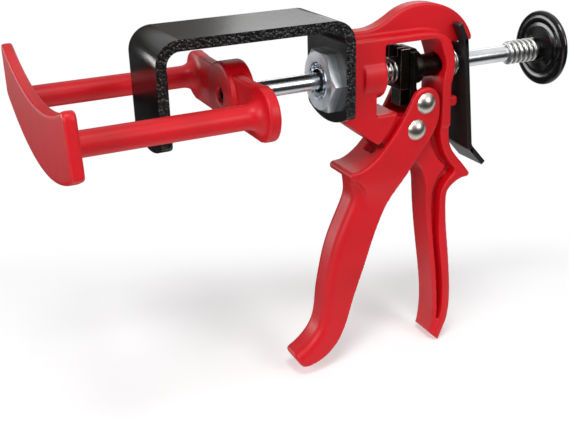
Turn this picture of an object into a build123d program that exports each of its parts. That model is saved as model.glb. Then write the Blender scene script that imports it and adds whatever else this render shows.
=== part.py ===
from build123d import *
import math
import os

# A hand spreader built like a caulking gun: a trigger walks a smooth rod forward through one-way grip plates.
# Millimetres. +X runs along the rod to the pull knob, +Z is up, and the tool is symmetric about Y = 0.
# The origin is on the rod axis, on the inner face of the bracket's front leg.

# Fits and gaps
running_fit = 0.05  # radial room of a shaft that turns or slides in its bore
seat_fit = 0.03  # radial room of pieces that are pressed or screwed together
moving_gap = 0.4  # room between pieces that move past each other

# Rod, with its hub end in the fork and its far end in the knob
rod_diameter = 8.0
rod_hole_gap = 0.35  # radial room of the rod in the driver and the grip plates
rod_reach = 174.3  # from the fork hub's front face to the knob's front face

# Bracket, a bent flat bar
bar_width = 38.0
bar_thickness = 4.75
bracket_gap = 82.0  # between the two legs
bracket_height = 30.6  # top face above the rod axis
bend_radius = 6.0  # inside of the bends
leg_drop = 19.3  # lowest point of a leg below the rod axis
leg_end_radius = 38.0
leg_corner = 3.0

# Nose sleeve, jam nut and front bush
sleeve_diameter = 17.6
sleeve_rod_gap = 1.5  # radial room of the rod in the sleeve
sleeve_depth = 13.0  # how far it is screwed into the body
sleeve_chamfer = 0.6
nut_width = 27.0  # across flats
nut_thickness = 4.6
nut_chamfer_angle = 30.0
front_bush_wall = 2.0

# Body casting
band_half = 10.0  # front block, top band and rear post
fin_half = 4.0  # raised fin along the top, which ends in the hook
neck_half = 7.5  # pivot block, neck and front of the handle
rim_half = 9.0  # rear edge of the handle
web_half = 2.6  # floor of the side grooves
fin_front_top = 21.2
fin_top = 30.8
ledge_height = 18.3
window_top = 14.6
window_floor = -18.5
boss_ledge = 6.0  # underside of the block above the nose boss
boss_radius = 12.0
boss_start = 9.5
boss_end = 21.3  # rear end of the nose boss, from the body's front face
rear_wall_front = 53.8
rear_wall_back = 60.0  # spring seat on the rear wall
stop_nub_end = 65.0
stop_nub_half = 7.2
stop_nub_height = 5.0
stop_nub_z = -18.2
stop_nub_round = 2.0
edge_round = 1.0
fine_round = 0.6
front_round = 1.0  # front of the handle
horn_round = 1.6

# Trigger, its pivot and its drive pin, from the body's front face and the rod axis
pivot_x = 38.6
pivot_z = -28.2
drive_dx = 4.9  # drive pin from the pivot
drive_dz = 12.5
trigger_travel = 20.0  # degrees
cheek_thickness = 3.0
cheek_gap = 0.8  # from the neck to a cheek's inner face
cheek_head_radius = 7.8
grip_half = 7.9
grip_channel_half = 4.2
cheek_front_round = 1.5  # where the cheeks meet the front of the grip
bead_round = 5.0  # front of the grip
toe_round = 2.0  # end of the grip
rivet_diameter = 5.0
rivet_head_diameter = 10.4
rivet_head_height = 2.6
drive_sleeve_diameter = 6.8

# Driver in the window
plate_thickness = 1.75
plate_side_gap = 0.5  # from a grip plate to the trigger's cheek
plate_top = 10.4
plate_bottom = -19.0
plate_floor_gap = 2.5
plate_corner = 2.0
driver_inset = 0.8  # how far the plates stand out beside the driver
driver_wall = 5.0
driver_top = 11.0
driver_arm_half = 3.6
driver_arm_top = 13.4
driver_arm_floor = 7.2
driver_floor = -8.6
driver_leg_half = 4.0
driver_leg_bottom = -17.2
driver_leg_setback = 1.8  # leg's front face behind the block's

# Rear bush
rear_bush_wall = 1.5
rear_flange_diameter = 16.0
rear_flange_thickness = 3.9

# Release lever
lever_half = 10.0
lever_top = (61.9, 20.1)  # middle of the plate at its top, knee, lower bend and tip
lever_knee = (66.0, 11.9)
lever_bend = (71.6, -42.6)
lever_tip = (80.8, -53.0)
lever_thickness = 2.6
lever_bend_radius = 5.0
lever_hole_gap = 0.9
lever_notch_floor = 9.6

# Springs
coil_gap = 0.1  # between a coil's end and its seat
return_wire = 1.1
return_rod_gap = 1.15  # radial room of the rod in the return spring
return_turns = 3.5
lever_wire = 1.1
lever_spring_radius = 6.9
lever_spring_turns = 3.0
buffer_wire = 1.9
buffer_turns = 6.0
buffer_length = 20.0

# Fork
hub_front = 29.0  # hub's front face behind the hook face, at rest
hub_diameter = 30.0
hub_length = 11.6
fork_reach = 80.7  # from the foot's front face to the hub's front face
foot_thickness = 5.0
foot_half_top = 64.5
foot_half_bottom = 67.0
foot_top_edge = 22.0
foot_top_dip = 9.5
foot_bottom_edge = -3.5
foot_bottom_dip = -18.6
foot_corner = 3.0
arm_diameter = 10.5
arm_spread = 37.9
arm_lift = 0.6  # arms above the rod axis
cross_front = 2.2  # crosshead behind the hub's front face
cross_thickness = 5.0
cross_half_height = 11.5
cross_waist = 10.9
screw_head_diameter = 7.0
screw_head_height = 4.0
screw_thread_diameter = 4.0
screw_length = 14.0
tap_run_out = 1.0
screw_head_recess = 1.2
screw_socket_width = 3.0
hub_floor = 2.4  # wall between screw head and rod end

# Knob
knob_radius = 18.9
knob_length = 11.5
knob_hub_radius = 7.5
insert_wall = 1.5
insert_length = 8.0

# Places that follow from the sizes above
rod_radius = rod_diameter / 2
sleeve_radius = sleeve_diameter / 2
front_bush_radius = rod_radius + front_bush_wall
rear_bush_radius = rod_radius + rear_bush_wall
insert_radius = rod_radius + insert_wall
return_radius = rod_radius + return_rod_gap + return_wire / 2
body_front = bracket_gap + bar_thickness
cheek_inner = neck_half + cheek_gap
cheek_outer = cheek_inner + cheek_thickness
drive_x = pivot_x + drive_dx
drive_sleeve_radius = drive_sleeve_diameter / 2
plate_half = cheek_inner - plate_side_gap
driver_half = plate_half - driver_inset
plate_rear = drive_x - drive_sleeve_radius - moving_gap
driver_rear = plate_rear - 2 * plate_thickness
driver_front = driver_rear - driver_wall
swing = math.radians(trigger_travel)
driver_stroke = drive_dx * (1 - math.cos(swing)) + drive_dz * math.sin(swing)
driver_arm_front = boss_end + driver_stroke + moving_gap
sleeve_front = -bar_thickness - nut_thickness
lever_slope = (lever_bend[0] - lever_knee[0]) / (lever_knee[1] - lever_bend[1])
lever_spring_outer = lever_spring_radius + lever_wire / 2
lever_mid_x = lever_knee[0] + lever_slope * (lever_knee[1] - lever_spring_outer)  # beside the spring's top
lever_spring_end = lever_mid_x - lever_thickness / 2 * math.sqrt(1 + lever_slope ** 2)
cross_flare = cross_half_height - arm_diameter / 2  # radius of the flare from an arm to the crosshead
rod_start = hub_front + screw_head_recess + screw_head_height + hub_floor
knob_front = hub_front + rod_reach
rod_end = knob_front + insert_length - seat_fit

nose = Pos(body_front, 0, 0)
pivot = Pos(body_front + pivot_x, 0, pivot_z)
hub = Pos(hub_front, 0, 0)


def face_of(*pieces):
    return make_face([edge for piece in pieces for edge in piece.edges()])


# A side outline given in X and Z, made equally thick to both sides
def slab(outline, half_width):
    return extrude(Plane.XZ.offset(-half_width) * outline, amount=2 * half_width)


# An outline with its corner at one point rounded
def rounded_at(outline, corner, radius):
    nearest = outline.vertices().sort_by_distance((corner[0], corner[1], 0))[0]
    return fillet(nearest, radius)


# A slab with the edges of its two side faces rounded
def soft_slab(outline, half_width, radius):
    near = extrude(Plane.XZ * outline, amount=half_width)
    near = fillet(near.faces().sort_by(Axis.Y)[0].edges(), radius)
    return near + mirror(near, Plane.XZ)


def bar_x(radius, start, end, y=0.0, z=0.0):
    upright = Cylinder(radius, end - start, align=(Align.CENTER, Align.CENTER, Align.MIN))
    return Pos(start, y, z) * Rot(0, 90, 0) * upright


def bar_y(radius, half_length, x=0.0, z=0.0):
    return Pos(x, 0, z) * Rot(90, 0, 0) * Cylinder(radius, 2 * half_length)


def coil(start, end, radius, wire, turns):
    height = end - start - wire - 2 * coil_gap
    first = start + wire / 2 + coil_gap
    path = Helix(pitch=height / turns, height=height, radius=radius, center=(first, 0, 0), direction=(1, 0, 0))
    section = Plane(origin=path @ 0, z_dir=path % 0) * Circle(wire / 2)
    return sweep(section, path=path, is_frenet=True)


# Body casting, from its front face

def window_outline():
    return face_of(
        Polyline((46.5, window_top), (boss_end, window_top), (boss_end, boss_ledge), (17, boss_ledge),
                 (17, window_floor), (30, window_floor), (30, plate_bottom - plate_floor_gap),
                 (rear_wall_front, plate_bottom - plate_floor_gap), (rear_wall_front, -8)),
        Spline((rear_wall_front, -8), (55.2, 1), (52.6, 9.8), (46.5, window_top), tangents=((0.1, 1), (-1, 0))),
    )


def band_outline():
    rear_curve = ThreePointArc((57.6, 12.2), (60.4, 0.2), (58.8, -8.5))
    return face_of(
        Polyline((0, -19.5), (0, ledge_height), (40, ledge_height)),
        Spline((40, ledge_height), (50.5, 16.9), (57.6, 12.2), tangents=((1, 0), rear_curve % 0)),
        rear_curve,
        Polyline((58.8, -8.5), (59.3, -30), (rear_wall_front, -30), (rear_wall_front, window_floor),
                 (28.7, window_floor)),
        Spline((28.7, window_floor), (24.6, -26.5), (18, -33.2)),
        Line((18, -33.2), (0, -19.5)),
    )


# Fin along the top: it rises to a hump behind the bracket and runs out in the hook over the release lever
def fin_outline():
    return face_of(
        Line((0, fin_front_top), (12, fin_front_top)),
        Spline((12, fin_front_top), (20.3, 22.4), (26.8, 25.4), (33.2, 28.9), (42, fin_top), (53.4, 29.5),
               (60.4, 26.7), (67.7, 21.2), (73.4, 11.8)),
        ThreePointArc((73.4, 11.8), (72.6, 10.4), (70.9, 10.8)),
        Polyline((70.9, 10.8), (66, lever_notch_floor + 2 * moving_gap), (56, lever_notch_floor + 2 * moving_gap),
                 (0, window_top + fine_round), (0, fin_front_top)),
    )


def rim_outline():
    horn_tip = (75.2, -59.3)
    outline = face_of(
        Line((59.3, -25), (59.3, -30)),
        Spline((59.3, -30), (61.2, -41.8), (68.7, -51.5), horn_tip, tangents=((0, -1), (0.68, -0.73))),
        Spline(horn_tip, (66, -60.2), (60.8, -64), (59.6, -70), tangents=((-1, 0.05), (0, -1))),
        Spline((59.6, -70), (61.5, -92), (64.4, -118), (63.2, -141.7), tangents=((0, -1), (-0.3, -1))),
        Polyline((63.2, -141.7), (58.5, -152.5), (54.5, -148.5), (57.6, -143)),
        Spline((57.6, -143), (60.3, -127), (58.1, -103.5), (55.8, -74.5), tangents=((0.5, 1), (0, 1))),
        Spline((55.8, -74.5), (56.2, -65.5), (59.2, -59.7), (63.2, -56), tangents=((0, 1), (0.75, 0.66))),
        ThreePointArc((63.2, -56), (64, -54.5), (63.4, -52.8)),
        Spline((63.4, -52.8), (57.8, -45), (54.7, -36.5), (rear_wall_front, -25), tangents=((-0.7, 0.75), (0, 1))),
        Line((rear_wall_front, -25), (59.3, -25)),
    )
    return rounded_at(outline, horn_tip, horn_round)


def neck_outline():
    shoulder = (59.6, -51.6)
    outline = face_of(
        Polyline((18, -33), (26, -20), (49, -20), (49.1, -34.9)),
        Spline((49.1, -34.9), (51.6, -41.8), (55, -47.4), shoulder, tangents=((0, -1), (0.75, -0.66))),
        Spline(shoulder, (54.4, -57), (52, -63.4), (51.7, -74), tangents=((-0.75, -0.66), (0, -1))),
        Spline((51.7, -74), (54.3, -97), (57.7, -128), (56.4, -146.5), tangents=((0.05, -1), (-0.4, -1))),
        Polyline((56.4, -146.5), (56, -149), (53.9, -147.4)),
        Spline((53.9, -147.4), (55.4, -131), (53.2, -108), (48.1, -66), (45.5, -52), (40, -45), (33, -38.8),
               (26, -34.6), (18, -33)),
    )
    return rounded_at(outline, shoulder, horn_round)


# The neck and the front of the handle, with the handle's front edges rounded
def neck():
    near = extrude(Plane.XZ * neck_outline(), amount=neck_half)
    front_edge = near.faces().sort_by(Axis.Y)[0].edges().sort_by(SortBy.LENGTH)[-1]
    near = fillet(front_edge, front_round)
    return near + mirror(near, Plane.XZ)


def groove_floor_outline():
    return face_of(
        Polyline((47, -21), (56, -21), (56.5, -32)),
        Spline((56.5, -32), (59, -41), (64.5, -49.5), (68, -55.5)),
        Spline((68, -55.5), (61.5, -61), (57.8, -67), (57.8, -76)),
        Spline((57.8, -76), (60, -103), (62, -127), (59.5, -143)),
        Line((59.5, -143), (55.2, -144)),
        Spline((55.2, -144), (55.8, -128), (52.6, -100), (49.8, -74)),
        Spline((49.8, -74), (49.8, -62), (51.5, -53), (47.5, -36)),
        Line((47.5, -36), (47, -21)),
    )


def gun_body():
    window = slab(window_outline(), band_half + boss_radius)
    band = slab(band_outline(), band_half) - window
    band_sides = band.faces().sort_by(Axis.Y)
    band = fillet(band_sides[0].edges() + band_sides[-1].edges(), edge_round)
    lower = soft_slab(rim_outline(), rim_half, edge_round) + neck()
    lower += slab(groove_floor_outline(), web_half)
    lower += bar_y(cheek_head_radius, cheek_inner - running_fit, pivot_x, pivot_z)
    upper = soft_slab(fin_outline(), fin_half, fine_round)
    nub = Box(stop_nub_end - rear_wall_front, 2 * stop_nub_half, stop_nub_height,
              align=(Align.MIN, Align.CENTER, Align.CENTER))
    nub = Pos(rear_wall_front, 0, stop_nub_z) * fillet(nub.faces().sort_by(Axis.X)[-1].edges(), stop_nub_round)
    casting = band + (lower + upper - window) + nub + bar_x(boss_radius, boss_start, boss_end)
    casting -= bar_x(sleeve_radius + seat_fit, 0, sleeve_depth)
    casting -= bar_x(front_bush_radius + seat_fit, sleeve_depth, boss_end)
    casting -= bar_x(rear_bush_radius + seat_fit, plate_rear, rear_wall_back)
    casting -= bar_x(lever_spring_radius + lever_wire, rear_wall_back, stop_nub_end)
    casting -= bar_y(rivet_diameter / 2 + running_fit, band_half, pivot_x, pivot_z)
    return nose * casting


# Bracket and what clamps it

def u_bracket():
    mid = bar_thickness / 2
    low = -leg_drop - leg_end_radius
    path = FilletPolyline((-mid, low), (-mid, bracket_height - mid), (bracket_gap + mid, bracket_height - mid),
                          (bracket_gap + mid, low), radius=bend_radius + mid)
    bar = slab(trace(path, line_width=bar_thickness), bar_width / 2)
    half = bar_width / 2
    edge_z = -leg_drop + leg_end_radius - math.sqrt(leg_end_radius ** 2 - half ** 2)
    front_view = face_of(
        Polyline((half, edge_z), (half, bracket_height), (-half, bracket_height), (-half, edge_z)),
        ThreePointArc((-half, edge_z), (0, -leg_drop), (half, edge_z)),
    )
    front_view = fillet(front_view.vertices().sort_by(Axis.Y)[:2], leg_corner)
    bar &= extrude(Plane.YZ.offset(-bar_thickness) * front_view, amount=body_front + bar_thickness)
    return bar - bar_x(sleeve_radius + seat_fit, bracket_gap, body_front)


def bracket_nut():
    corner = nut_width / math.sqrt(3)
    hexagon = Plane.YZ * RegularPolygon(corner, 6)
    nut = Pos(sleeve_front, 0, 0) * extrude(hexagon, amount=nut_thickness)
    drop = (corner - nut_width / 2) * math.tan(math.radians(nut_chamfer_angle))
    turned = bar_x(corner, sleeve_front, -bar_thickness)
    turned = chamfer(turned.edges().sort_by(Axis.X)[0], drop, corner - nut_width / 2)
    return nose * ((nut & turned) - bar_x(sleeve_radius + seat_fit, sleeve_front, -bar_thickness))


def nose_sleeve():
    sleeve = bar_x(sleeve_radius, sleeve_front, sleeve_depth)
    sleeve = chamfer(sleeve.edges().filter_by(GeomType.CIRCLE).sort_by(Axis.X)[0], sleeve_chamfer)
    return nose * (sleeve - bar_x(rod_radius + sleeve_rod_gap, sleeve_front, sleeve_depth))


def front_rod_bush():
    bush = bar_x(front_bush_radius, sleeve_depth, boss_end)
    return nose * (bush - bar_x(rod_radius + running_fit, sleeve_depth, boss_end))


def rear_rod_bush():
    flange_front = plate_rear + moving_gap
    bush = bar_x(rear_bush_radius, flange_front, rear_wall_back)
    bush += bar_x(rear_flange_diameter / 2, flange_front, flange_front + rear_flange_thickness)
    return nose * (bush - bar_x(rod_radius + running_fit, flange_front, rear_wall_back))


# Trigger and its pins, from the pivot

# Cheeks and horn, whose front edge falls back behind the round front of the grip
def cheek_outline():
    head_left = (-2.7, 14.5)
    head_right = (drive_dx + cheek_head_radius, drive_dz - 1)
    return face_of(
        ThreePointArc(head_right, (drive_dx, drive_dz + cheek_head_radius), head_left),
        Spline(head_left, (-7.5, 6.2), (-17.8, -7.2), (-28.6, -15.2), (-34.8, -16.2)),
        ThreePointArc((-34.8, -16.2), (-36.4, -18.2), (-34.9, -20.2)),
        Spline((-34.9, -20.2), (-30.2, -23.6), (-26.6, -31), (-25, -44)),
        Line((-25, -44), (-17.9, -44)),
        Spline((-17.9, -44), (-10, -30.4), (2.8, -12.3), (11.6, 0.6), head_right),
    )


def cheek_front_view():
    shoulder_top = -18
    shoulder_end = -44
    head_top = drive_dz + 2 * cheek_head_radius
    side = Bezier((cheek_outer, shoulder_top), (cheek_outer, -27), (grip_half, -30), (grip_half, shoulder_end))
    end = Line((grip_half, shoulder_end), (-grip_half, shoulder_end))
    top = Polyline((cheek_outer, shoulder_top), (cheek_outer, head_top), (-cheek_outer, head_top),
                   (-cheek_outer, shoulder_top))
    return face_of(top, side, mirror(side, Plane.YZ), end)


def cheeks():
    solid = slab(cheek_outline(), cheek_outer)
    solid &= extrude(Plane.YZ.offset(-body_front) * cheek_front_view(), amount=2 * body_front)
    front_edges = solid.edges().filter_by(lambda edge: -32 < edge.center().X < -24 and -40 < edge.center().Z < -21)
    return fillet(front_edges, cheek_front_round)


grip_front = [(-32.8, -25), (-32.6, -30.5), (-34.2, -35.5), (-36.5, -40.5), (-41.1, -50.5), (-44.6, -60.8), (-47, -71.5),
              (-48.9, -82.6), (-50.3, -93.9), (-52.3, -99.6), (-56, -104.6), (-61, -108.8), (-66.2, -111.6)]
grip_toe = (-62, -118.4)


def grip_outline():
    top = (-33.4, -19.5)
    return face_of(
        Spline(top, *grip_front),
        Line(grip_front[-1], grip_toe),
        Spline(grip_toe, (-52, -116.8), (-44.4, -111.6), (-38, -101.6), (-33, -86.4), (-27.3, -70.6), (-20, -50),
               (-10, -30.4)),
        Polyline((-10, -30.4), (-8, -27.5), (-20, -19.5), top),
    )


# Grip with a round front and a soft toe
def trigger_grip():
    near = extrude(Plane.XZ * grip_outline(), amount=grip_half)
    long_edges = near.faces().sort_by(Axis.Y)[0].edges().sort_by(SortBy.LENGTH)[-2:]
    near = fillet(long_edges.sort_by(Axis.X)[0], bead_round)
    toe = near.faces().sort_by_distance((grip_toe[0], -grip_half / 2, grip_toe[1]))[0]
    near = fillet(toe.edges().sort_by(Axis.Y)[:-1], toe_round)
    return near + mirror(near, Plane.XZ)


def trigger_cavity():
    return face_of(
        Polyline((-40, 30), (40, 30), (40, -25.8), (-7.6, -25.8), (-18.5, -20.5), (-20.5, -15.5), (-14.6, -10.3),
                 (-18.6, -6.3), (-40, 8), (-40, 30)),
    )


# A narrow slot in the top of the trigger, ahead of the cavity
def trigger_slot():
    return face_of(Polyline((-20.6, 0), (-14, 0), (-14, -15), (-20.6, -15), (-20.6, 0)))


def trigger_channel():
    return face_of(
        Polyline((-22, -31), (40, -31), (40, -103), (-42, -103)),
        Spline((-42, -103), (-41.5, -93), (-37.5, -71), (-30.5, -49), (-22, -31)),
    )


def trigger():
    solid = cheeks() + trigger_grip()
    solid -= slab(trigger_cavity(), cheek_inner)
    solid -= slab(trigger_slot(), grip_channel_half) + slab(trigger_channel(), grip_channel_half)
    solid -= bar_y(rivet_diameter / 2 + running_fit, cheek_outer)
    solid -= bar_y(rivet_diameter / 2 + seat_fit, cheek_outer, drive_dx, drive_dz)
    return pivot * solid


def domed_rivet():
    reach = cheek_outer + running_fit
    radius = rivet_head_diameter / 2
    ball = (radius ** 2 + rivet_head_height ** 2) / (2 * rivet_head_height)
    dome = Pos(0, reach + rivet_head_height - ball, 0) * Sphere(ball)
    dome &= Pos(0, reach, 0) * Box(4 * radius, 2 * ball, 4 * radius, align=(Align.CENTER, Align.MIN, Align.CENTER))
    return bar_y(rivet_diameter / 2, reach) + dome + mirror(dome, Plane.XZ)


def drive_sleeve():
    half = cheek_inner - moving_gap
    sleeve = bar_y(drive_sleeve_radius, half) - bar_y(rivet_diameter / 2 + seat_fit, half)
    return pivot * Pos(drive_dx, 0, drive_dz) * sleeve


# Driver and grip plates

def driver_block():
    block = Pos(driver_front, 0, driver_floor) * Box(
        driver_wall, 2 * driver_half, driver_top - driver_floor, align=(Align.MIN, Align.CENTER, Align.MIN))
    arm = face_of(
        Polyline((driver_arm_front, driver_arm_floor), (driver_arm_front, driver_arm_top), (driver_rear, driver_top),
                 (driver_rear, driver_arm_floor), (driver_arm_front, driver_arm_floor)),
    )
    leg = Pos(driver_rear, 0, driver_leg_bottom) * Box(
        driver_wall - driver_leg_setback, 2 * driver_leg_half, -driver_leg_bottom,
        align=(Align.MAX, Align.CENTER, Align.MIN))
    block += slab(arm, driver_arm_half) + leg
    return nose * (block - bar_x(rod_radius + rod_hole_gap, driver_front, driver_rear))


def grip_plate(rear):
    height = plate_top - plate_bottom
    plate = Box(plate_thickness, 2 * plate_half, height, align=(Align.MAX, Align.CENTER, Align.MIN))
    plate = fillet(plate.edges().filter_by(Axis.X), plate_corner)
    plate = Pos(rear, 0, plate_bottom) * plate
    return nose * (plate - bar_x(rod_radius + rod_hole_gap, rear - plate_thickness, rear))


# Release lever

def release_lever():
    path = FilletPolyline(lever_top, lever_knee, lever_bend, lever_tip, radius=lever_bend_radius)
    lever = slab(trace(path, line_width=lever_thickness), lever_half)
    notch_size = 2 * lever_half
    lever -= Pos(lever_knee[0], 0, lever_notch_floor) * Box(
        notch_size, 2 * (fin_half + moving_gap), notch_size, align=(Align.CENTER, Align.CENTER, Align.MIN))
    return nose * (lever - bar_x(rod_radius + lever_hole_gap, lever_top[0], lever_tip[0]))


# Fork

def foot_outline():
    outline = face_of(
        ThreePointArc((-foot_half_top, foot_top_edge), (0, foot_top_dip), (foot_half_top, foot_top_edge)),
        Line((foot_half_top, foot_top_edge), (foot_half_bottom, foot_bottom_edge)),
        ThreePointArc((foot_half_bottom, foot_bottom_edge), (0, foot_bottom_dip), (-foot_half_bottom, foot_bottom_edge)),
        Line((-foot_half_bottom, foot_bottom_edge), (-foot_half_top, foot_top_edge)),
    )
    return fillet(outline.vertices(), foot_corner)


# Crosshead between the arms, seen along the rod; it narrows a little on both sides of the hub
def cross_outline():
    high = arm_lift + cross_half_height
    low = arm_lift - cross_half_height
    half = arm_spread / 2
    return face_of(
        ThreePointArc((-arm_spread, high), (-half, cross_waist), (0, cross_half_height)),
        ThreePointArc((0, cross_half_height), (half, cross_waist), (arm_spread, high)),
        Line((arm_spread, high), (arm_spread, low)),
        ThreePointArc((arm_spread, low), (half, -cross_waist), (0, -cross_half_height)),
        ThreePointArc((0, -cross_half_height), (-half, -cross_waist), (-arm_spread, low)),
        Line((-arm_spread, low), (-arm_spread, high)),
    )


def arm_flare():
    arm_radius = arm_diameter / 2
    sag = cross_flare * (1 - math.sqrt(0.5))
    profile = face_of(
        Polyline((0, arm_radius + cross_flare), (0, 0), (-cross_flare, 0), (-cross_flare, arm_radius)),
        ThreePointArc((-cross_flare, arm_radius), (-sag, arm_radius + sag), (0, arm_radius + cross_flare)),
    )
    return revolve(Plane.XZ * profile, axis=Axis.X)


def pusher_fork():
    fork = Pos(-fork_reach, 0, 0) * extrude(Plane.YZ * foot_outline(), amount=foot_thickness)
    fork = fillet(fork.faces().sort_by(Axis.X)[0].edges() + fork.faces().sort_by(Axis.X)[-1].edges(), edge_round)
    cross = Pos(cross_front, 0, 0) * extrude(Plane.YZ * cross_outline(), amount=cross_thickness)
    cross_rear = cross_front + cross_thickness
    for y in (-arm_spread, arm_spread):
        cross += bar_x(cross_half_height, cross_front, cross_rear, y, arm_lift)
        cross += Pos(cross_front, y, arm_lift) * arm_flare()
        fork += bar_x(arm_diameter / 2, foot_thickness / 2 - fork_reach, cross_front, y, arm_lift)
    hub_drum = bar_x(hub_diameter / 2, 0, hub_length)
    hub_drum = fillet(hub_drum.edges().filter_by(GeomType.CIRCLE), edge_round)
    fork += cross + hub_drum
    head_floor = screw_head_recess + screw_head_height
    fork -= bar_x(screw_head_diameter / 2 + seat_fit, 0, head_floor)
    fork -= bar_x(screw_thread_diameter / 2 + seat_fit, 0, hub_length)
    fork -= bar_x(rod_radius + seat_fit, head_floor + hub_floor, hub_length)
    return hub * fork


def fork_screw():
    head_floor = screw_head_recess + screw_head_height
    screw = bar_x(screw_head_diameter / 2, screw_head_recess, head_floor)
    screw += bar_x(screw_thread_diameter / 2, head_floor, head_floor + screw_length)
    socket = Plane.YZ * RegularPolygon(screw_socket_width / math.sqrt(3), 6)
    socket = Pos(screw_head_recess, 0, 0) * extrude(socket, amount=screw_head_height / 2)
    return hub * (screw - socket)


# Rod, knob and buffer spring

def thrust_rod():
    rod = bar_x(rod_radius, rod_start, rod_end)
    tapped = hub_front + screw_head_recess + screw_head_height + screw_length + tap_run_out
    return rod - bar_x(screw_thread_diameter / 2 + seat_fit, rod_start, tapped)


def knob():
    profile = face_of(
        Polyline((0, 0), (0, knob_hub_radius), (1.5, 11), (2.4, 11.4), (2.6, 13)),
        Spline((2.6, 13), (2.2, 16), (3, knob_radius - 0.4)),
        ThreePointArc((3, knob_radius - 0.4), (4, knob_radius), (5, knob_radius - 0.3)),
        Spline((5, knob_radius - 0.3), (8.8, 12), (knob_length, 0), tangents=((0.5, -0.8), (0, -1))),
        Line((knob_length, 0), (0, 0)),
    )
    turned = revolve(Plane.XZ * profile, axis=Axis.X)
    return Pos(knob_front, 0, 0) * (turned - bar_x(insert_radius + seat_fit, 0, insert_length))


def knob_insert():
    insert = bar_x(insert_radius, 0, insert_length) - bar_x(rod_radius + seat_fit, 0, insert_length)
    return Pos(knob_front, 0, 0) * insert


nodes = {
    "gun_body": gun_body(),
    "u_bracket": u_bracket(),
    "bracket_nut": bracket_nut(),
    "nose_sleeve": nose_sleeve(),
    "front_rod_bush": front_rod_bush(),
    "rear_rod_bush": rear_rod_bush(),
    "trigger": trigger(),
    "trigger_pivot_rivet": pivot * domed_rivet(),
    "drive_pin_rivet": pivot * Pos(drive_dx, 0, drive_dz) * domed_rivet(),
    "drive_sleeve": drive_sleeve(),
    "driver_block": driver_block(),
    "front_grip_plate": grip_plate(plate_rear - plate_thickness),
    "rear_grip_plate": grip_plate(plate_rear),
    "return_spring": nose * coil(boss_end, driver_front, return_radius, return_wire, return_turns),
    "release_lever": release_lever(),
    "lever_spring": nose * coil(rear_wall_back, lever_spring_end, lever_spring_radius, lever_wire, lever_spring_turns),
    "thrust_rod": thrust_rod(),
    "pusher_fork": pusher_fork(),
    "fork_screw": fork_screw(),
    "knob": knob(),
    "knob_insert": knob_insert(),
    "buffer_spring": coil(knob_front - buffer_length, knob_front, rod_radius + running_fit + buffer_wire / 2,
                          buffer_wire, buffer_turns),
}

os.makedirs("parts", exist_ok=True)
for name, shape in nodes.items():
    export_step(shape, f"parts/{name}.step")
    print(name, round(shape.volume), "mm3", len(shape.solids()), "solid")
print("driver stroke", round(driver_stroke, 3), "mm")
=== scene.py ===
import bpy
import math
from mathutils import Matrix, Vector


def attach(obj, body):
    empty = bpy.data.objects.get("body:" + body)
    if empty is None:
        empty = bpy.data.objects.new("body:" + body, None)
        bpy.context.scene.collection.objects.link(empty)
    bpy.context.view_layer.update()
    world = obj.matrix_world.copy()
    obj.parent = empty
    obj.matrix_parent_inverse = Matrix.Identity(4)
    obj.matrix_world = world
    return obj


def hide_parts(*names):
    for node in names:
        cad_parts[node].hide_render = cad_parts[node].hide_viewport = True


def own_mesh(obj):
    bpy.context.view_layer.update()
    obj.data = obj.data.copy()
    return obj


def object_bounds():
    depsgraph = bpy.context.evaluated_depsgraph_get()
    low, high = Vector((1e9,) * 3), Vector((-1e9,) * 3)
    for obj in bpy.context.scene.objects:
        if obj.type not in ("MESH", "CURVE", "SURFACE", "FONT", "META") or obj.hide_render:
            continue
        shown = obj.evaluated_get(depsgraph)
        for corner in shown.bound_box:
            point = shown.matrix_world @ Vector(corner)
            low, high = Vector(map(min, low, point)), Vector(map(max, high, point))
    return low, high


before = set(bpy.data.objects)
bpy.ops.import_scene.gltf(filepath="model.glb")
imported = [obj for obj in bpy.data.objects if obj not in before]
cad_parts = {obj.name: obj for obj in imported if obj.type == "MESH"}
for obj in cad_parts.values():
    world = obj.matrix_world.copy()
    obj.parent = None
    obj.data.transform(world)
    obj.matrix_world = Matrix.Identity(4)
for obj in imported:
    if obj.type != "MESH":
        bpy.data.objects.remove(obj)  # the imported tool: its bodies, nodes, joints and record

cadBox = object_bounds()
print("frame loaded with", len(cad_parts), "nodes")

mixFactor, mixFirst, mixSecond, mixResult = 0, 6, 7, 2  # sockets of a Mix node that mixes two colours


def hexToLinear(code):  # sRGB hex to the linear values that a shader takes
    channels = [int(code[i:i + 2], 16) / 255 for i in (1, 3, 5)]
    linear = [c / 12.92 if c <= 0.04045 else ((c + 0.055) / 1.055) ** 2.4 for c in channels]
    return (*linear, 1.0)


# a setting is a property of the node, or else the value of one of its inputs
def addNode(tree, kind, settings=None, links=None):
    node = tree.nodes.new("ShaderNode" + kind)
    for name, value in (settings or {}).items():
        if isinstance(name, str) and hasattr(node, name):
            setattr(node, name, value)
        else:
            node.inputs[name].default_value = value
    for name, source in (links or {}).items():
        tree.links.new(source, node.inputs[name])
    return node


def newMaterial(name):
    material = bpy.data.materials.new(name)
    material.use_nodes = True
    material.node_tree.nodes.clear()
    return material, material.node_tree


def perMetre(size):  # texture scale for a feature of this many millimetres
    return 1000.0 / size


# red enamel sprayed and stoved on die castings: satin gloss, faint orange peel, a shade deeper where it
# pooled, and paler on convex corners: partly paint run thin there, partly a painted edge highlight
redEnamel = {"colour": "#D20417", "pooled": "#C30413", "thinPaintHighlight": "#D2202E", "ior": 1.5, "specular": 0.4,
             "roughness": 0.42, "sheenSpread": 0.06, "poolMm": 24.0, "poolFrom": 0.4, "poolTo": 0.7,
             "cornerFrom": 0.52, "cornerTo": 0.6, "peelMm": 1.8, "peelDepth": 0.00003, "peelStrength": 0.5}


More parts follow.
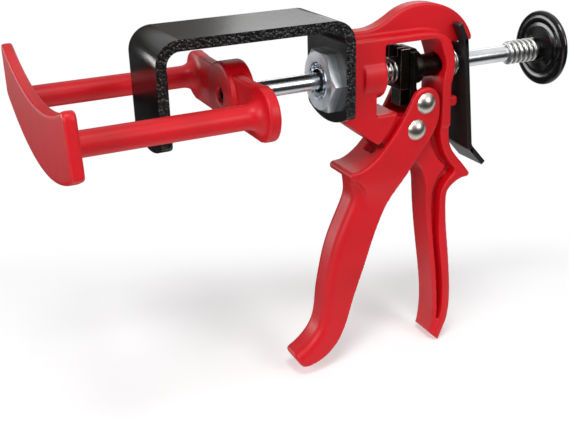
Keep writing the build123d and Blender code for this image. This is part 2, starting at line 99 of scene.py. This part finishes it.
def makeRedEnamel(values):
    material, tree = newMaterial("stovedRedEnamel")
    place = addNode(tree, "TexCoord")
    pool = addNode(tree, "TexNoise", {"Scale": perMetre(values["poolMm"]), "Detail": 3.0},
                   {"Vector": place.outputs["Object"]})
    spread = addNode(tree, "MapRange", {"From Min": values["poolFrom"], "From Max": values["poolTo"]},
                     {"Value": pool.outputs["Fac"]})
    film = addNode(tree, "Mix", {"data_type": "RGBA", mixFirst: hexToLinear(values["colour"]),
                                 mixSecond: hexToLinear(values["pooled"])},
                   {mixFactor: spread.outputs["Result"]})
    form = addNode(tree, "NewGeometry")
    # convex corners take the paler colour: partly thin paint, partly a painted highlight along the edge
    corner = addNode(tree, "MapRange", {"From Min": values["cornerFrom"], "From Max": values["cornerTo"]},
                     {"Value": form.outputs["Pointiness"]})
    colour = addNode(tree, "Mix", {"data_type": "RGBA", mixSecond: hexToLinear(values["thinPaintHighlight"])},
                     {mixFactor: corner.outputs["Result"], mixFirst: film.outputs[mixResult]})
    peel = addNode(tree, "TexNoise", {"Scale": perMetre(values["peelMm"]), "Detail": 2.0},
                   {"Vector": place.outputs["Object"]})
    bump = addNode(tree, "Bump", {"Strength": values["peelStrength"], "Distance": values["peelDepth"]},
                   {"Height": peel.outputs["Fac"]})
    sheen = addNode(tree, "MapRange", {"To Min": values["roughness"] - values["sheenSpread"],
                                       "To Max": values["roughness"] + values["sheenSpread"]},
                    {"Value": pool.outputs["Fac"]})
    shader = addNode(tree, "BsdfPrincipled", {"IOR": values["ior"], "Specular IOR Level": values["specular"]},
                     {"Base Color": colour.outputs[mixResult], "Roughness": sheen.outputs["Result"],
                      "Normal": bump.outputs["Normal"]})
    addNode(tree, "OutputMaterial", {}, {"Surface": shader.outputs["BSDF"]})
    return material


# black enamel dipped over hot-rolled bar: wet gloss with slow waves on the rolled faces, and a coarse
# glinting skin on the two sheared edges, which face along Y; the grit tops there are painted lighter grey as
# painted glints
barEnamel = {"colour": "#080808", "glintGrey": "#1A1A1B", "ior": 1.55, "roughness": 0.24, "edgeRoughness": 0.31,
             "edgeFrom": 0.45, "edgeTo": 0.8, "waveMm": 9.0, "waveDepth": 0.0001, "waveStrength": 0.5,
             "edgeMm": 1.25, "edgeDepth": 0.0009, "glintFrom": 0.45, "glintTo": 0.75}


def makeBarEnamel(values):
    material, tree = newMaterial("dippedBlackEnamel")
    place = addNode(tree, "TexCoord")
    facing = addNode(tree, "SeparateXYZ", {}, {"Vector": place.outputs["Normal"]})
    side = addNode(tree, "Math", {"operation": "ABSOLUTE"}, {0: facing.outputs["Y"]})
    edge = addNode(tree, "MapRange", {"From Min": values["edgeFrom"], "From Max": values["edgeTo"]},
                   {"Value": side.outputs["Value"]})
    wave = addNode(tree, "TexNoise", {"Scale": perMetre(values["waveMm"]), "Detail": 4.0, "Roughness": 0.6},
                   {"Vector": place.outputs["Object"]})
    grit = addNode(tree, "TexNoise", {"Scale": perMetre(values["edgeMm"]), "Detail": 1.0, "Roughness": 0.5},
                   {"Vector": place.outputs["Object"]})
    torn = addNode(tree, "Math", {"operation": "MULTIPLY"},
                   {0: grit.outputs["Fac"], 1: edge.outputs["Result"]})
    soft = addNode(tree, "Bump", {"Strength": values["waveStrength"], "Distance": values["waveDepth"]},
                   {"Height": wave.outputs["Fac"]})
    bump = addNode(tree, "Bump", {"Strength": 1.0, "Distance": values["edgeDepth"]},
                   {"Height": torn.outputs["Value"], "Normal": soft.outputs["Normal"]})
    # the raised grit on the sheared edges is painted a lighter grey: a painted glint
    paintedGlints = addNode(tree, "MapRange", {"From Min": values["glintFrom"], "From Max": values["glintTo"]},
                   {"Value": torn.outputs["Value"]})
    colour = addNode(tree, "Mix", {"data_type": "RGBA", mixFirst: hexToLinear(values["colour"]),
                                   mixSecond: hexToLinear(values["glintGrey"])},
                     {mixFactor: paintedGlints.outputs["Result"]})
    gloss = addNode(tree, "MapRange", {"To Min": values["roughness"], "To Max": values["edgeRoughness"]},
                    {"Value": edge.outputs["Result"]})
    shader = addNode(tree, "BsdfPrincipled", {"IOR": values["ior"]},
                     {"Base Color": colour.outputs[mixResult], "Roughness": gloss.outputs["Result"],
                      "Normal": bump.outputs["Normal"]})
    addNode(tree, "OutputMaterial", {}, {"Surface": shader.outputs["BSDF"]})
    return material


# black powder coat on pressed sheet steel: an even satin grain, with convex corners painted grey as a painted
# highlight where light rakes them
powderCoat = {"colour": "#1A1A1B", "paintedRakeGrey": "#2E2E2F", "ior": 1.5, "roughness": 0.36, "sheenSpread": 0.08,
              "cornerFrom": 0.53, "cornerTo": 0.65, "grainMm": 0.9, "grainDepth": 0.00005,
              "grainStrength": 0.4}


def makePowderCoat(values):
    material, tree = newMaterial("powderCoatedSheet")
    place = addNode(tree, "TexCoord")
    grain = addNode(tree, "TexNoise", {"Scale": perMetre(values["grainMm"]), "Detail": 2.0},
                    {"Vector": place.outputs["Object"]})
    form = addNode(tree, "NewGeometry")
    # convex corners take the lighter grey as a painted highlight
    corner = addNode(tree, "MapRange", {"From Min": values["cornerFrom"], "From Max": values["cornerTo"]},
                     {"Value": form.outputs["Pointiness"]})
    colour = addNode(tree, "Mix", {"data_type": "RGBA", mixFirst: hexToLinear(values["colour"]),
                                   mixSecond: hexToLinear(values["paintedRakeGrey"])},
                     {mixFactor: corner.outputs["Result"]})
    bump = addNode(tree, "Bump", {"Strength": values["grainStrength"], "Distance": values["grainDepth"]},
                   {"Height": grain.outputs["Fac"]})
    sheen = addNode(tree, "MapRange", {"To Min": values["roughness"] - values["sheenSpread"],
                                       "To Max": values["roughness"] + values["sheenSpread"]},
                    {"Value": grain.outputs["Fac"]})
    shader = addNode(tree, "BsdfPrincipled", {"IOR": values["ior"]},
                     {"Base Color": colour.outputs[mixResult], "Roughness": sheen.outputs["Result"],
                      "Normal": bump.outputs["Normal"]})
    addNode(tree, "OutputMaterial", {}, {"Surface": shader.outputs["BSDF"]})
    return material


# every bare or plated metal here has marks from how it was worked, and stretch draws them out along that
# direction; real tool marks are too fine to show, so each is drawn as coarse as it needs to show
workedMetal = {"patchFrom": 0.35, "patchTo": 0.7, "markStrength": 0.3, "smoothest": 0.75, "roughest": 1.25}


def makeWorkedMetal(name, values):
    material, tree = newMaterial(name)
    place = addNode(tree, "TexCoord")
    drawn = addNode(tree, "Mapping", {"Scale": values["stretch"]}, {"Vector": place.outputs["Object"]})
    marks = addNode(tree, "TexNoise", {"Scale": perMetre(values["lineMm"]), "Detail": 4.0, "Roughness": 0.6},
                    {"Vector": drawn.outputs["Vector"]})
    cloud = addNode(tree, "TexNoise", {"Scale": perMetre(values["cloudMm"]), "Detail": 2.0},
                    {"Vector": place.outputs["Object"]})
    patch = addNode(tree, "MapRange", {"From Min": workedMetal["patchFrom"],
                                       "From Max": workedMetal["patchTo"]}, {"Value": cloud.outputs["Fac"]})
    colour = addNode(tree, "Mix", {"data_type": "RGBA", mixFirst: hexToLinear(values["colour"]),
                                   mixSecond: hexToLinear(values["dull"])},
                     {mixFactor: patch.outputs["Result"]})
    bump = addNode(tree, "Bump", {"Strength": workedMetal["markStrength"], "Distance": values["lineDepth"]},
                   {"Height": marks.outputs["Fac"]})
    gloss = addNode(tree, "MapRange", {"To Min": values["roughness"] * workedMetal["smoothest"],
                                       "To Max": values["roughness"] * workedMetal["roughest"]},
                    {"Value": marks.outputs["Fac"]})
    shader = addNode(tree, "BsdfPrincipled", {"Metallic": 1.0},
                     {"Base Color": colour.outputs[mixResult], "Roughness": gloss.outputs["Result"],
                      "Normal": bump.outputs["Normal"]})
    addNode(tree, "OutputMaterial", {}, {"Surface": shader.outputs["BSDF"]})
    return material


# zinc plate on a forged nut: cool satin silver, faintly cloudy
zincPlate = {"colour": "#DEE3E8", "dull": "#C2CAD2", "roughness": 0.4, "lineMm": 0.8, "lineDepth": 0.00002,
             "cloudMm": 5.0, "stretch": (1.0, 1.0, 1.0)}
# blue-bright zinc on a turned thread: sharp bluish glints
blueZinc = {"colour": "#E0ECF8", "dull": "#B4C6D8", "roughness": 0.24, "lineMm": 2.0, "lineDepth": 0.0009,
            "cloudMm": 4.0, "stretch": (1.0, 1.0, 1.0)}
# bright drawn steel rod: long silver streaks along its length
drawnSteel = {"colour": "#E2E4E6", "dull": "#CDD0D3", "roughness": 0.24, "lineMm": 1.0, "lineDepth": 0.00003,
              "cloudMm": 18.0, "stretch": (0.03, 1.0, 1.0)}
# steel rivet heads rolled to a dome and tumbled: warm satin silver with one soft bright spot
rolledRivet = {"colour": "#DAD3CB", "dull": "#CCC4BC", "roughness": 0.32, "lineMm": 0.7, "lineDepth": 0.00001,
               "cloudMm": 4.0, "stretch": (1.0, 1.0, 1.0)}
# zinc-plated spring wire: bright, with dull die marks
springWire = {"colour": "#D6D7D4", "dull": "#B8B9B6", "roughness": 0.34, "lineMm": 0.6, "lineDepth": 0.00002,
              "cloudMm": 3.0, "stretch": (1.0, 1.0, 1.0)}
# steel blackened in hot oxide: dark brown-black, still metal in its glance
blackOxide = {"colour": "#2B2926", "dull": "#1D1C1A", "roughness": 0.4, "lineMm": 0.7, "lineDepth": 0.00005,
              "cloudMm": 5.0, "stretch": (1.0, 1.0, 0.3)}
# edges of blackened steel rubbed bare: thin silver lines
bareEdge = {"colour": "#B4AEA6", "dull": "#8C8780", "roughness": 0.32, "lineMm": 0.5, "lineDepth": 0.00002,
            "cloudMm": 2.0, "stretch": (1.0, 1.0, 1.0)}
# turned bronze: warm, with fine rings from the lathe
turnedBronze = {"colour": "#B98B4E", "dull": "#9A7340", "roughness": 0.3, "lineMm": 0.4, "lineDepth": 0.00002,
                "cloudMm": 4.0, "stretch": (4.0, 0.2, 0.2)}

# phenolic moulded in a polished die: deep black gloss with a slight flow swirl
knobPhenolic = {"colour": "#0A0A0B", "flow": "#101011", "ior": 1.6, "roughness": 0.16, "smoother": 0.05,
                "rougher": 0.08, "flowMm": 12.0, "swirl": 1.5, "rippleDepth": 0.00001, "rippleStrength": 0.3}


def makeKnobPhenolic(values):
    material, tree = newMaterial("mouldedPhenolic")
    place = addNode(tree, "TexCoord")
    flow = addNode(tree, "TexNoise", {"Scale": perMetre(values["flowMm"]), "Detail": 3.0,
                                      "Distortion": values["swirl"]}, {"Vector": place.outputs["Object"]})
    colour = addNode(tree, "Mix", {"data_type": "RGBA", mixFirst: hexToLinear(values["colour"]),
                                   mixSecond: hexToLinear(values["flow"])}, {mixFactor: flow.outputs["Fac"]})
    bump = addNode(tree, "Bump", {"Strength": values["rippleStrength"], "Distance": values["rippleDepth"]},
                   {"Height": flow.outputs["Fac"]})
    gloss = addNode(tree, "MapRange", {"To Min": values["roughness"] - values["smoother"],
                                       "To Max": values["roughness"] + values["rougher"]},
                    {"Value": flow.outputs["Fac"]})
    shader = addNode(tree, "BsdfPrincipled", {"IOR": values["ior"]},
                     {"Base Color": colour.outputs[mixResult], "Roughness": gloss.outputs["Result"],
                      "Normal": bump.outputs["Normal"]})
    addNode(tree, "OutputMaterial", {}, {"Surface": shader.outputs["BSDF"]})
    return material


stovedRedEnamel = makeRedEnamel(redEnamel)
dippedBlackEnamel = makeBarEnamel(barEnamel)
powderCoatedSheet = makePowderCoat(powderCoat)
platedZinc = makeWorkedMetal("platedZinc", zincPlate)
turnedBlueZinc = makeWorkedMetal("turnedBlueZinc", blueZinc)
drawnBrightSteel = makeWorkedMetal("drawnBrightSteel", drawnSteel)
tumbledRivetSteel = makeWorkedMetal("tumbledRivetSteel", rolledRivet)
platedSpringWire = makeWorkedMetal("platedSpringWire", springWire)
oxideBlackenedSteel = makeWorkedMetal("oxideBlackenedSteel", blackOxide)
rubbedBareSteel = makeWorkedMetal("rubbedBareSteel", bareEdge)
latheTurnedBronze = makeWorkedMetal("latheTurnedBronze", turnedBronze)
mouldedPhenolic = makeKnobPhenolic(knobPhenolic)
print("materials made:", len(bpy.data.materials))

finishes = {
    "gun_body": stovedRedEnamel, "trigger": stovedRedEnamel, "pusher_fork": stovedRedEnamel,
    "u_bracket": dippedBlackEnamel, "bracket_nut": platedZinc, "nose_sleeve": turnedBlueZinc,
    "front_rod_bush": latheTurnedBronze, "rear_rod_bush": oxideBlackenedSteel,
    "trigger_pivot_rivet": tumbledRivetSteel, "drive_pin_rivet": tumbledRivetSteel,
    "drive_sleeve": platedZinc, "driver_block": oxideBlackenedSteel,
    "front_grip_plate": oxideBlackenedSteel, "rear_grip_plate": oxideBlackenedSteel,
    "return_spring": platedSpringWire, "release_lever": powderCoatedSheet, "lever_spring": platedSpringWire,
    "thrust_rod": drawnBrightSteel, "fork_screw": oxideBlackenedSteel, "knob": mouldedPhenolic,
    "knob_insert": oxideBlackenedSteel, "buffer_spring": platedSpringWire}
for nodeName, finish in finishes.items():
    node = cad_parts[nodeName]
    node.data.materials.clear()
    node.data.materials.append(finish)
print("finishes set on", len(finishes), "nodes")

seamWidth = 0.00002  # faces of a solid whose corners lie this close are one skin


def joinSeams(node):
    weld = node.modifiers.new("joinSeams", "WELD")
    weld.merge_threshold = seamWidth


# castings come out of the die with every corner run soft under the paint
castSkin = {"gun_body": {"voxel": 0.0006, "rounds": 3}, "trigger": {"voxel": 0.0006, "rounds": 6},
            "pusher_fork": {"voxel": 0.0006, "rounds": 8}}
for nodeName, values in castSkin.items():
    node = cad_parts[nodeName]
    joinSeams(node)
    glintGrey = node.modifiers.new("castSkin", "REMESH")
    glintGrey.mode = "VOXEL"
    glintGrey.voxel_size = values["voxel"]
    glintGrey.use_smooth_shade = True
    soft = node.modifiers.new("softCorners", "SMOOTH")
    soft.factor = 0.5
    soft.iterations = values["rounds"]
print("castings softened:", len(castSkin))

# bent and cut steel keeps a small broken edge, rubbed bare where the plates work
sharpAngle = math.radians(40)
brokenEdge = {"u_bracket": {"width": 0.0007, "bare": False},
              "release_lever": {"width": 0.0005, "bare": False},
              "driver_block": {"width": 0.00025, "bare": True},
              "front_grip_plate": {"width": 0.00025, "bare": True},
              "rear_grip_plate": {"width": 0.00025, "bare": True},
              "rear_rod_bush": {"width": 0.0003, "bare": False},
              "bracket_nut": {"width": 0.0003, "bare": False}}
for nodeName, values in brokenEdge.items():
    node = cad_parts[nodeName]
    joinSeams(node)
    edge = node.modifiers.new("brokenEdge", "BEVEL")
    edge.width = values["width"]
    edge.segments = 3
    edge.limit_method = "ANGLE"
    edge.angle_limit = sharpAngle
    edge.harden_normals = True
    if values["bare"]:
        node.data.materials.append(rubbedBareSteel)
        edge.material = 1
print("edges broken on", len(brokenEdge), "steel pieces")

# the return spring and the lever's spring are each copied to a coil of their own on the frame, and the
# originals are hidden
workingSprings = {"return_spring": {"joint": "driver_slide", "keep": 0.52},
                  "lever_spring": {"joint": "lever_press", "keep": 0.64}}
for nodeName, values in workingSprings.items():
    coil = bpy.data.objects.new(nodeName + "_coil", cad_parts[nodeName].data.copy())
    bpy.context.scene.collection.objects.link(coil)
    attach(coil, "frame")
    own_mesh(coil)
    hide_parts(nodeName)
print("springs that close up:", len(workingSprings))

# camera, placed as the photograph was taken
view = {"place": (-0.10376, -0.35184, 0.10323), "right": (0.90282, -0.42922, -0.02608),
        "up": (0.18983, 0.34339, 0.91981), "ahead": (0.38584, 0.83538, -0.39150),
        "lens": 55.606, "sensor": 36.0, "nearest": 0.01}
lens = bpy.data.cameras.new("studioCamera")
lens.sensor_fit = "HORIZONTAL"
lens.sensor_width = view["sensor"]
lens.lens = view["lens"]
lens.clip_start = view["nearest"]
camera = bpy.data.objects.new("studioCamera", lens)
axes = [Vector(view["right"]).normalized(), Vector(view["up"]).normalized(),
        -Vector(view["ahead"]).normalized()]
camera.matrix_world = Matrix.Translation(view["place"]) @ Matrix(axes).transposed().to_4x4()
bpy.context.scene.collection.objects.link(camera)
bpy.context.scene.camera = camera

# softboxes: one overhead that throws the shadow, one at each side of the camera,
# and two behind the tool that only show in gloss
middle = Vector((0.07, 0.0, -0.04))
lamps = {"topSoftbox": {"from": (-0.2, -0.42, 0.95), "size": (0.3, 0.3), "power": 4.2, "diffuse": True},
         "rightSoftbox": {"from": (0.45, -0.9, 0.45), "size": (0.5, 0.35), "power": 3.6, "diffuse": True},
         "leftSoftbox": {"from": (-0.9, -0.5, 0.4), "size": (0.5, 0.5), "power": 4.6, "diffuse": True},
         "backStrip": {"from": (0.72, 0.9, 0.46), "size": (0.8, 0.3), "power": 1.6, "diffuse": False},
         "farLeftSoftbox": {"from": (-0.72, 0.7, 0.02), "size": (0.45, 0.3), "power": 3.0, "diffuse": False}}
for lampName, values in lamps.items():
    lamp = bpy.data.lights.new(lampName, "AREA")
    lamp.shape = "RECTANGLE"
    lamp.size, lamp.size_y = values["size"]
    lamp.energy = values["power"]
    holder = bpy.data.objects.new(lampName, lamp)
    holder.location = middle + Vector(values["from"])
    holder.rotation_euler = Vector(values["from"]).to_track_quat("Z", "Y").to_euler()
    holder.visible_camera = False
    holder.visible_diffuse = values["diffuse"]
    bpy.context.scene.collection.objects.link(holder)
print("camera and", len(lamps), "softboxes placed")

# studio room: white to the camera; metal mirrors a white ceiling and dim warm walls
room = {"white": "#FFFFFF", "dark": "#453F3B", "ceiling": (0.0, 0.1, 0.995), "ceilingFrom": 0.22,
        "ceilingTo": 0.72, "fill": 0.24}


def makeRoom(values):
    world = bpy.data.worlds.new("studioRoom")
    world.use_nodes = True
    world.cycles.sampling_method = "NONE"
    tree = world.node_tree
    tree.nodes.clear()
    path = addNode(tree, "LightPath")
    aim = addNode(tree, "TexCoord")
    upward = addNode(tree, "VectorMath", {"operation": "DOT_PRODUCT", 1: values["ceiling"]},
                     {0: aim.outputs["Generated"]})
    bright = addNode(tree, "MapRange", {"From Min": values["ceilingFrom"], "From Max": values["ceilingTo"],
                                        "interpolation_type": "SMOOTHSTEP"},
                     {"Value": upward.outputs["Value"]})
    mirrored = addNode(tree, "Mix", {"data_type": "RGBA", mixFirst: hexToLinear(values["dark"]),
                                     mixSecond: hexToLinear(values["white"])},
                       {mixFactor: bright.outputs["Result"]})
    glossy = addNode(tree, "Math", {"operation": "MAXIMUM"},
                     {0: path.outputs["Is Glossy Ray"], 1: path.outputs["Is Transmission Ray"]})
    shown = addNode(tree, "Mix", {"data_type": "RGBA", mixFirst: hexToLinear(values["white"])},
                    {mixFactor: glossy.outputs["Value"], mixSecond: mirrored.outputs[mixResult]})
    seen = addNode(tree, "Math", {"operation": "MAXIMUM"},
                   {0: path.outputs["Is Camera Ray"], 1: glossy.outputs["Value"]})
    level = addNode(tree, "MapRange", {"To Min": values["fill"], "To Max": 1.0},
                    {"Value": seen.outputs["Value"]})
    air = addNode(tree, "Background", {}, {"Color": shown.outputs[mixResult],
                                           "Strength": level.outputs["Result"]})
    addNode(tree, "OutputWorld", {}, {"Surface": air.outputs["Background"]})
    return world


bpy.context.scene.world = makeRoom(room)

# floor of white paper at the foot of the handle: it takes the shadow and fades to plain white all round;
# in what gloss mirrors it is bright below the tool and at the right, and dark in front and behind
paper = {"colour": "#F0F0F0", "glow": 0.35, "reach": 3.0, "lift": -0.0002,
         "back": (0.42, 0.908, 0.0), "whiteFrom": 0.125, "whiteTo": 0.19,  # white behind the tool
         "centre": (0.07, 0.0), "ringFrom": 0.2, "ringTo": 0.5,  # white all round
         "below": 0.9, "brightHalf": 0.02, "greyFrom": 0.11,
         "front": 0.02, "frontHalf": 0.06, "frontFrom": 0.18,
         "left": 0.01, "leftFrom": -0.14, "leftTo": -0.05, "middle": 0.04,
         "right": 0.7, "rightFrom": 0.15, "rightTo": 0.2}
floorZ = cadBox[0][2] + paper["lift"]


def makeWhitePaper(values):
    material, tree = newMaterial("whitePaper")
    path = addNode(tree, "LightPath")
    place = addNode(tree, "NewGeometry")
    across = addNode(tree, "SeparateXYZ", {}, {"Vector": place.outputs["Position"]})
    # what the camera sees
    matt = addNode(tree, "BsdfDiffuse", {"Color": hexToLinear(values["colour"])})
    glow = addNode(tree, "Emission", {"Strength": values["glow"]})
    lit = addNode(tree, "AddShader", {}, {0: matt.outputs["BSDF"], 1: glow.outputs["Emission"]})
    plain = addNode(tree, "Emission", {"Strength": 1.0})
    depth = addNode(tree, "VectorMath", {"operation": "DOT_PRODUCT", 1: values["back"]},
                    {0: place.outputs["Position"]})
    behind = addNode(tree, "MapRange", {"From Min": values["whiteFrom"], "From Max": values["whiteTo"],
                                        "interpolation_type": "SMOOTHSTEP"},
                     {"Value": depth.outputs["Value"]})
    away = addNode(tree, "VectorMath", {"operation": "DISTANCE", 1: (*values["centre"], floorZ)},
                   {0: place.outputs["Position"]})
    around = addNode(tree, "MapRange", {"From Min": values["ringFrom"], "From Max": values["ringTo"],
                                        "interpolation_type": "SMOOTHSTEP"},
                     {"Value": away.outputs["Value"]})
    white = addNode(tree, "Math", {"operation": "MAXIMUM"},
                    {0: behind.outputs["Result"], 1: around.outputs["Result"]})
    faded = addNode(tree, "MixShader", {}, {0: white.outputs["Value"], 1: lit.outputs["Shader"],
                                            2: plain.outputs["Emission"]})
    # what gloss mirrors
    left = addNode(tree, "MapRange", {"From Min": values["leftFrom"], "From Max": values["leftTo"],
                                      "To Min": values["left"], "To Max": values["middle"]},
                   {"Value": across.outputs["X"]})
    side = addNode(tree, "MapRange", {"From Min": values["rightFrom"], "From Max": values["rightTo"],
                                      "To Max": values["right"]},
                   {"Value": across.outputs["X"], "To Min": left.outputs["Result"]})
    far = addNode(tree, "MapRange", {"From Min": values["brightHalf"], "From Max": values["greyFrom"],
                                     "To Min": values["below"], "interpolation_type": "SMOOTHSTEP"},
                  {"Value": across.outputs["Y"], "To Max": side.outputs["Result"]})
    near = addNode(tree, "MapRange", {"From Min": -values["frontFrom"], "From Max": -values["frontHalf"],
                                      "To Min": values["front"], "interpolation_type": "SMOOTHSTEP"},
                   {"Value": across.outputs["Y"], "To Max": far.outputs["Result"]})
    mirror = addNode(tree, "Emission", {}, {"Strength": near.outputs["Result"]})
    seen = addNode(tree, "MixShader", {}, {0: path.outputs["Is Camera Ray"], 1: matt.outputs["BSDF"],
                                           2: faded.outputs["Shader"]})
    whole = addNode(tree, "MixShader", {}, {0: path.outputs["Is Glossy Ray"], 1: seen.outputs["Shader"],
                                            2: mirror.outputs["Emission"]})
    addNode(tree, "OutputMaterial", {}, {"Surface": whole.outputs["Shader"]})
    material.cycles.emission_sampling = "NONE"
    return material


reach = paper["reach"]
floorMesh = bpy.data.meshes.new("paperFloor")
corners = ((-reach, -reach), (reach, -reach), (reach, reach), (-reach, reach))
floorMesh.from_pydata([(x, y, floorZ) for x, y in corners], [], [(0, 1, 2, 3)])
floorMesh.materials.append(makeWhitePaper(paper))
floor = bpy.data.objects.new("paperFloor", floorMesh)
bpy.context.scene.collection.objects.link(floor)
print("room and floor made")

bpy.context.scene.view_settings.view_transform = "Standard"
bpy.context.view_layer.update()
